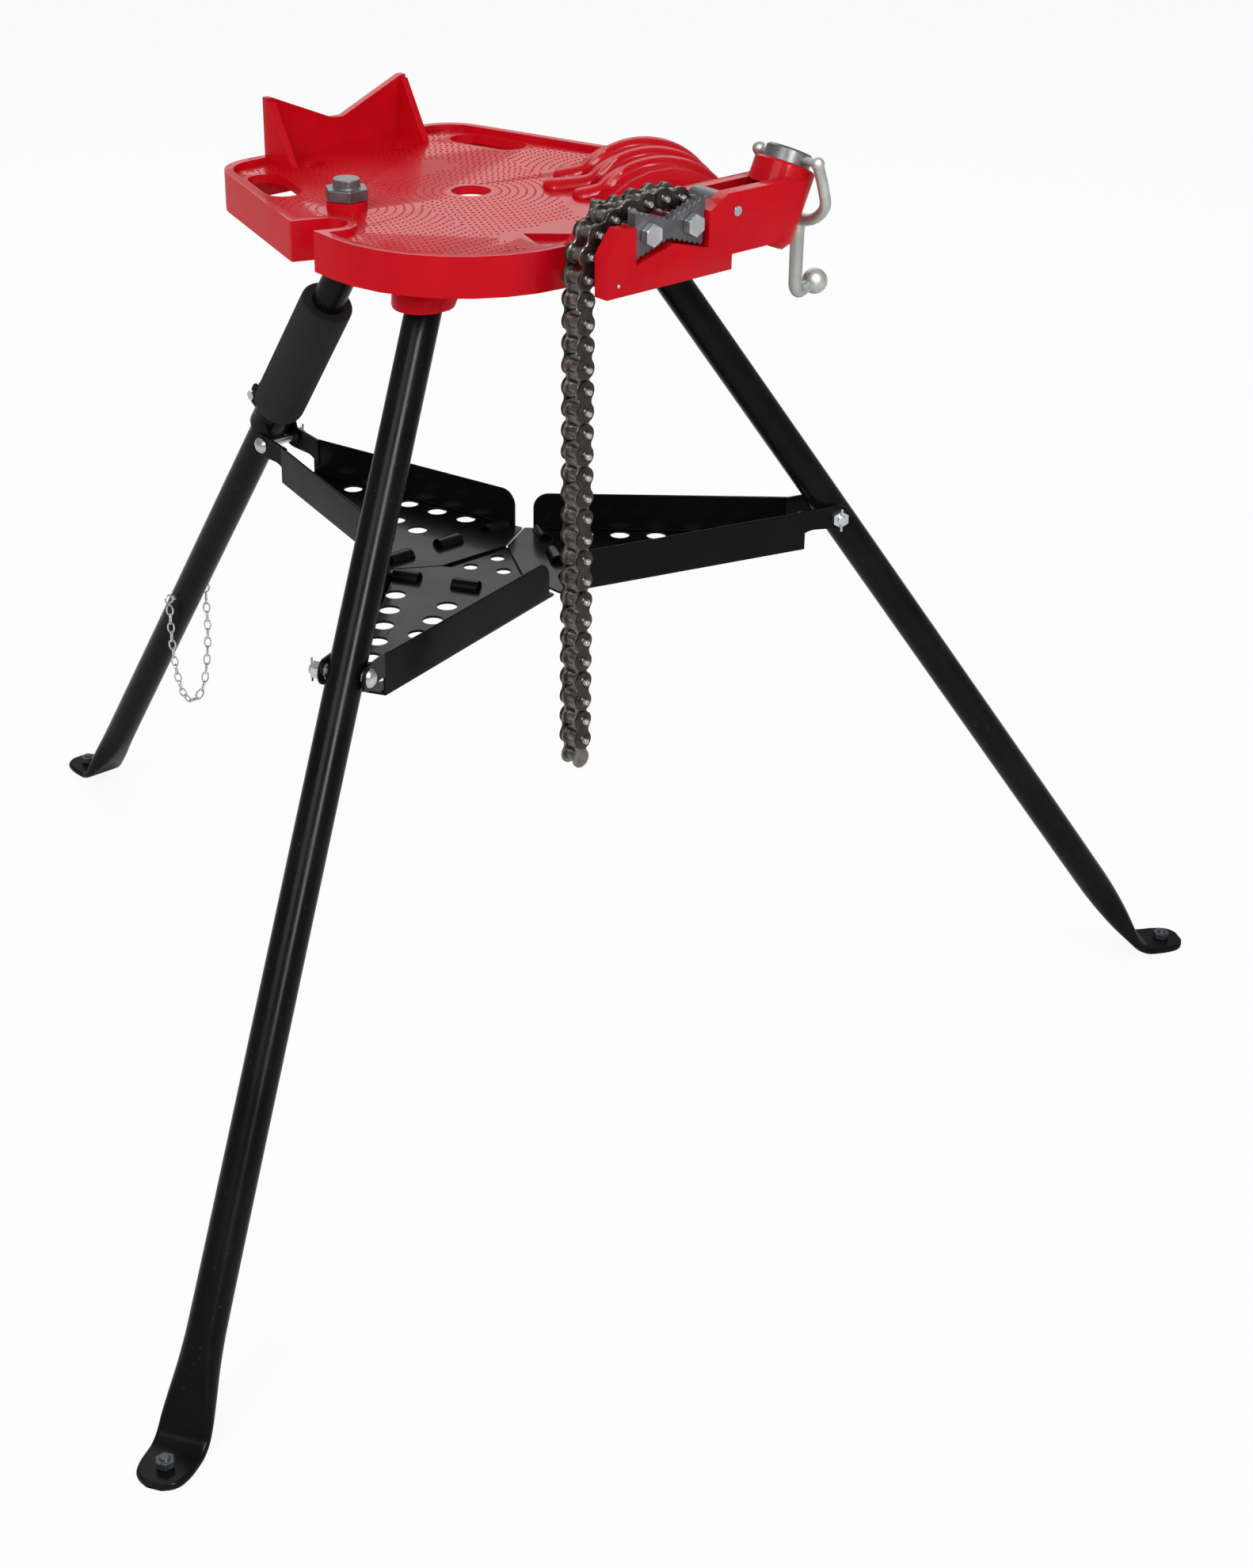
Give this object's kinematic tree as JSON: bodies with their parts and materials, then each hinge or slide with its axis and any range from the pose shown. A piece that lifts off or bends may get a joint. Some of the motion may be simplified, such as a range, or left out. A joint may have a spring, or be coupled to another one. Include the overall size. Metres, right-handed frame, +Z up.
{
  "type": "tripod pipe vise stand",
  "caption": "Folding tripod stand with a cast vise table: chain vise with crank screw, rear pipe rest, pipe bender, deck slots, perforated folding tray and a foam carrying grip on one leg.",
  "frame": {"origin": "on the floor under the middle of the outline", "axes": "+X along the clamped pipe from the rear rest to the vise, +Y to the crank handle side, +Z up"},
  "size_m": [1.157, 1.3268, 0.9161],
  "materials": {
    "red_enamel": "gloss enamel",
    "jaw_steel": "satin",
    "chain_steel": "oiled",
    "chain_bright": "oiled",
    "dull_zinc": "dull plating",
    "zinc": "bright plating",
    "black_paint": "gloss paint",
    "foam": "matt foam"
  },
  "bodies": {
    "table": {"vise_table": "red_enamel", "front_jaw": "jaw_steel", "rear_jaw": "jaw_steel", "jaw_bolt_left": "zinc", "jaw_bolt_right": "zinc", "chain_roller_pin": "zinc", "chain_keeper_pin": "zinc", "chain_seated": "chain_steel", "leg_pin_rear": "zinc", "leg_pin_left": "zinc", "leg_pin_right": "zinc"},
    "rear_leg": {"leg_rear": "black_paint", "foot_bolt_rear": "dull_zinc", "foam_grip": "foam", "leg_collar": "black_paint", "collar_bolt": "zinc", "tie_eye_bolt": "zinc", "tray_pin_rear": "zinc"},
    "left_leg": {"leg_left": "black_paint", "foot_bolt_left": "dull_zinc", "tray_pin_left": "zinc"},
    "right_leg": {"leg_right": "black_paint", "foot_bolt_right": "dull_zinc", "tray_pin_right": "zinc"},
    "rear_panel": {"tray_panel_rear": "black_paint"},
    "left_panel": {"tray_panel_left": "black_paint"},
    "right_panel": {"tray_panel_right": "black_paint"},
    "hub_plate": {"tray_hub": "black_paint"},
    "nut": {"tension_nut": "dull_zinc"},
    "screw": {"tension_screw": "dull_zinc"},
    "handle": {"crank_handle": "dull_zinc"},
    "roller": {"chain_roller": "jaw_steel"},
    "brace": {"ceiling_brace_screw": "black_paint"},
    "tie": {"tie_chain": "zinc"},
    "link_01": {"chain_link_01": "chain_bright"},
    "link_02": {"chain_link_02": "chain_steel"},
    "link_03": {"chain_link_03": "chain_bright"},
    "link_04": {"chain_link_04": "chain_steel"},
    "link_05": {"chain_link_05": "chain_bright"},
    "link_06": {"chain_link_06": "chain_steel"},
    "link_07": {"chain_link_07": "chain_bright"},
    "link_08": {"chain_link_08": "chain_steel"},
    "link_09": {"chain_link_09": "chain_bright"},
    "link_10": {"chain_link_10": "chain_steel"},
    "link_11": {"chain_link_11": "chain_bright"},
    "link_12": {"chain_link_12": "chain_steel"},
    "link_13": {"chain_link_13": "chain_bright"},
    "link_14": {"chain_link_14": "chain_steel"},
    "link_15": {"chain_link_15": "chain_bright"},
    "link_16": {"chain_link_16": "chain_steel"},
    "link_17": {"chain_link_17": "chain_bright"},
    "link_18": {"chain_link_18": "chain_steel"},
    "link_19": {"chain_link_19": "chain_bright"},
    "link_20": {"chain_link_20": "chain_steel"},
    "link_21": {"chain_link_21": "chain_bright"},
    "link_22": {"chain_link_22": "chain_steel"},
    "link_23": {"chain_link_23": "chain_bright"}
  },
  "joints": [
    {"name": "rear_leg_fold", "type": "hinge", "parent": "table", "child": "rear_leg", "pos_m": [0.04306, 0, 0.822], "axis": [0, -1, 0], "range_deg": [0, 28]},
    {"name": "left_leg_fold", "type": "hinge", "parent": "table", "child": "left_leg", "pos_m": [0.26352, -0.11521, 0.822], "axis": [0.8746, 0.4848, 0], "range_deg": [0, 28]},
    {"name": "right_leg_fold", "type": "hinge", "parent": "table", "child": "right_leg", "pos_m": [0.26352, 0.11521, 0.822], "axis": [-0.8746, 0.4848, 0], "range_deg": [0, 28]},
    {"name": "rear_panel_fold", "type": "hinge", "parent": "rear_leg", "child": "rear_panel", "pos_m": [-0.13534, 0, 0.5317], "axis": [0, -1, 0], "range_deg": [0, 47]},
    {"name": "left_panel_fold", "type": "hinge", "parent": "left_leg", "child": "left_panel", "pos_m": [0.36207, -0.293, 0.5317], "axis": [0.8746, 0.4848, 0], "range_deg": [0, 47]},
    {"name": "right_panel_fold", "type": "hinge", "parent": "right_leg", "child": "right_panel", "pos_m": [0.36207, 0.293, 0.5317], "axis": [-0.8746, 0.4848, 0], "range_deg": [0, 47]},
    {"name": "hub_plate_level", "type": "hinge", "parent": "rear_panel", "child": "hub_plate", "pos_m": [0.13666, 0, 0.5007], "axis": [0, -1, 0], "range_deg": [-75, 0]},
    {"name": "nut_turn", "type": "hinge", "parent": "table", "child": "nut", "pos_m": [0.40566, 0.1637, 0.8965], "axis": [0, 0.4226, 0.9063], "range_deg": [-14, 14]},
    {"name": "screw_travel", "type": "slide", "parent": "table", "child": "screw", "axis": [0, 0.4226, 0.9063], "range_m": [-0.0002, 0.0002]},
    {"name": "handle_swing", "type": "hinge", "parent": "nut", "child": "handle", "pos_m": [0.40566, 0.16647, 0.90244], "axis": [1, 0, 0], "range_deg": [0, 115]},
    {"name": "roller_turn", "type": "hinge", "parent": "table", "child": "roller", "pos_m": [0.40566, 0.075, 0.877], "axis": [1, 0, 0], "continuous": true},
    {"name": "brace_rise", "type": "slide", "parent": "table", "child": "brace", "axis": [0, 0, 1], "range_m": [0, 0.04]},
    {"name": "tie_chain_swing", "type": "hinge", "parent": "rear_leg", "child": "tie", "pos_m": [-0.32035, 0, 0.303], "axis": [0, -1, 0], "range_deg": [-15, 60]},
    {"name": "chain_hinge_01", "type": "hinge", "parent": "table", "child": "link_01", "pos_m": [0.40566, -0.07525, 0.8406], "axis": [1, 0, 0], "range_deg": [-11, 4]},
    {"name": "chain_hinge_02", "type": "hinge", "parent": "link_01", "child": "link_02", "pos_m": [0.40566, -0.07525, 0.82155], "axis": [1, 0, 0], "range_deg": [-11, 4]},
    {"name": "chain_hinge_03", "type": "hinge", "parent": "link_02", "child": "link_03", "pos_m": [0.40566, -0.07525, 0.8025], "axis": [1, 0, 0], "range_deg": [-11, 4]},
    {"name": "chain_hinge_04", "type": "hinge", "parent": "link_03", "child": "link_04", "pos_m": [0.40566, -0.07525, 0.78345], "axis": [1, 0, 0], "range_deg": [-11, 4]},
    {"name": "chain_hinge_05", "type": "hinge", "parent": "link_04", "child": "link_05", "pos_m": [0.40566, -0.07525, 0.7644], "axis": [1, 0, 0], "range_deg": [-11, 4]},
    {"name": "chain_hinge_06", "type": "hinge", "parent": "link_05", "child": "link_06", "pos_m": [0.40566, -0.07525, 0.74535], "axis": [1, 0, 0], "range_deg": [-11, 4]},
    {"name": "chain_hinge_07", "type": "hinge", "parent": "link_06", "child": "link_07", "pos_m": [0.40566, -0.07525, 0.7263], "axis": [1, 0, 0], "range_deg": [-11, 4]},
    {"name": "chain_hinge_08", "type": "hinge", "parent": "link_07", "child": "link_08", "pos_m": [0.40566, -0.07525, 0.70725], "axis": [1, 0, 0], "range_deg": [-11, 4]},
    {"name": "chain_hinge_09", "type": "hinge", "parent": "link_08", "child": "link_09", "pos_m": [0.40566, -0.07525, 0.6882], "axis": [1, 0, 0], "range_deg": [-11, 4]},
    {"name": "chain_hinge_10", "type": "hinge", "parent": "link_09", "child": "link_10", "pos_m": [0.40566, -0.07525, 0.66915], "axis": [1, 0, 0], "range_deg": [-11, 4]},
    {"name": "chain_hinge_11", "type": "hinge", "parent": "link_10", "child": "link_11", "pos_m": [0.40566, -0.07525, 0.6501], "axis": [1, 0, 0], "range_deg": [-11, 4]},
    {"name": "chain_hinge_12", "type": "hinge", "parent": "link_11", "child": "link_12", "pos_m": [0.40566, -0.07525, 0.63105], "axis": [1, 0, 0], "range_deg": [-11, 4]},
    {"name": "chain_hinge_13", "type": "hinge", "parent": "link_12", "child": "link_13", "pos_m": [0.40566, -0.07525, 0.612], "axis": [1, 0, 0], "range_deg": [-11, 4]},
    {"name": "chain_hinge_14", "type": "hinge", "parent": "link_13", "child": "link_14", "pos_m": [0.40566, -0.07525, 0.59295], "axis": [1, 0, 0], "range_deg": [-11, 4]},
    {"name": "chain_hinge_15", "type": "hinge", "parent": "link_14", "child": "link_15", "pos_m": [0.40566, -0.07525, 0.5739], "axis": [1, 0, 0], "range_deg": [-11, 4]},
    {"name": "chain_hinge_16", "type": "hinge", "parent": "link_15", "child": "link_16", "pos_m": [0.40566, -0.07525, 0.55485], "axis": [1, 0, 0], "range_deg": [-11, 4]},
    {"name": "chain_hinge_17", "type": "hinge", "parent": "link_16", "child": "link_17", "pos_m": [0.40566, -0.07525, 0.5358], "axis": [1, 0, 0], "range_deg": [-11, 4]},
    {"name": "chain_hinge_18", "type": "hinge", "parent": "link_17", "child": "link_18", "pos_m": [0.40566, -0.07525, 0.51675], "axis": [1, 0, 0], "range_deg": [-11, 4]},
    {"name": "chain_hinge_19", "type": "hinge", "parent": "link_18", "child": "link_19", "pos_m": [0.40566, -0.07525, 0.4977], "axis": [1, 0, 0], "range_deg": [-11, 4]},
    {"name": "chain_hinge_20", "type": "hinge", "parent": "link_19", "child": "link_20", "pos_m": [0.40566, -0.07525, 0.47865], "axis": [1, 0, 0], "range_deg": [-11, 4]},
    {"name": "chain_hinge_21", "type": "hinge", "parent": "link_20", "child": "link_21", "pos_m": [0.40566, -0.07525, 0.4596], "axis": [1, 0, 0], "range_deg": [-11, 4]},
    {"name": "chain_hinge_22", "type": "hinge", "parent": "link_21", "child": "link_22", "pos_m": [0.40566, -0.07525, 0.44055], "axis": [1, 0, 0], "range_deg": [-11, 4]},
    {"name": "chain_hinge_23", "type": "hinge", "parent": "link_22", "child": "link_23", "pos_m": [0.40566, -0.07525, 0.4215], "axis": [1, 0, 0], "range_deg": [-11, 4]}
  ],
  "couplings": [
    {"joint": "rear_panel_fold", "follows": "rear_leg_fold", "ratio": 1.6667},
    {"joint": "left_panel_fold", "follows": "left_leg_fold", "ratio": 1.6667},
    {"joint": "right_panel_fold", "follows": "right_leg_fold", "ratio": 1.6667},
    {"joint": "hub_plate_level", "follows": "rear_leg_fold", "ratio": -2.6667},
    {"joint": "screw_travel", "follows": "nut_turn", "m_per_rad": -0.00063662}
  ]
}
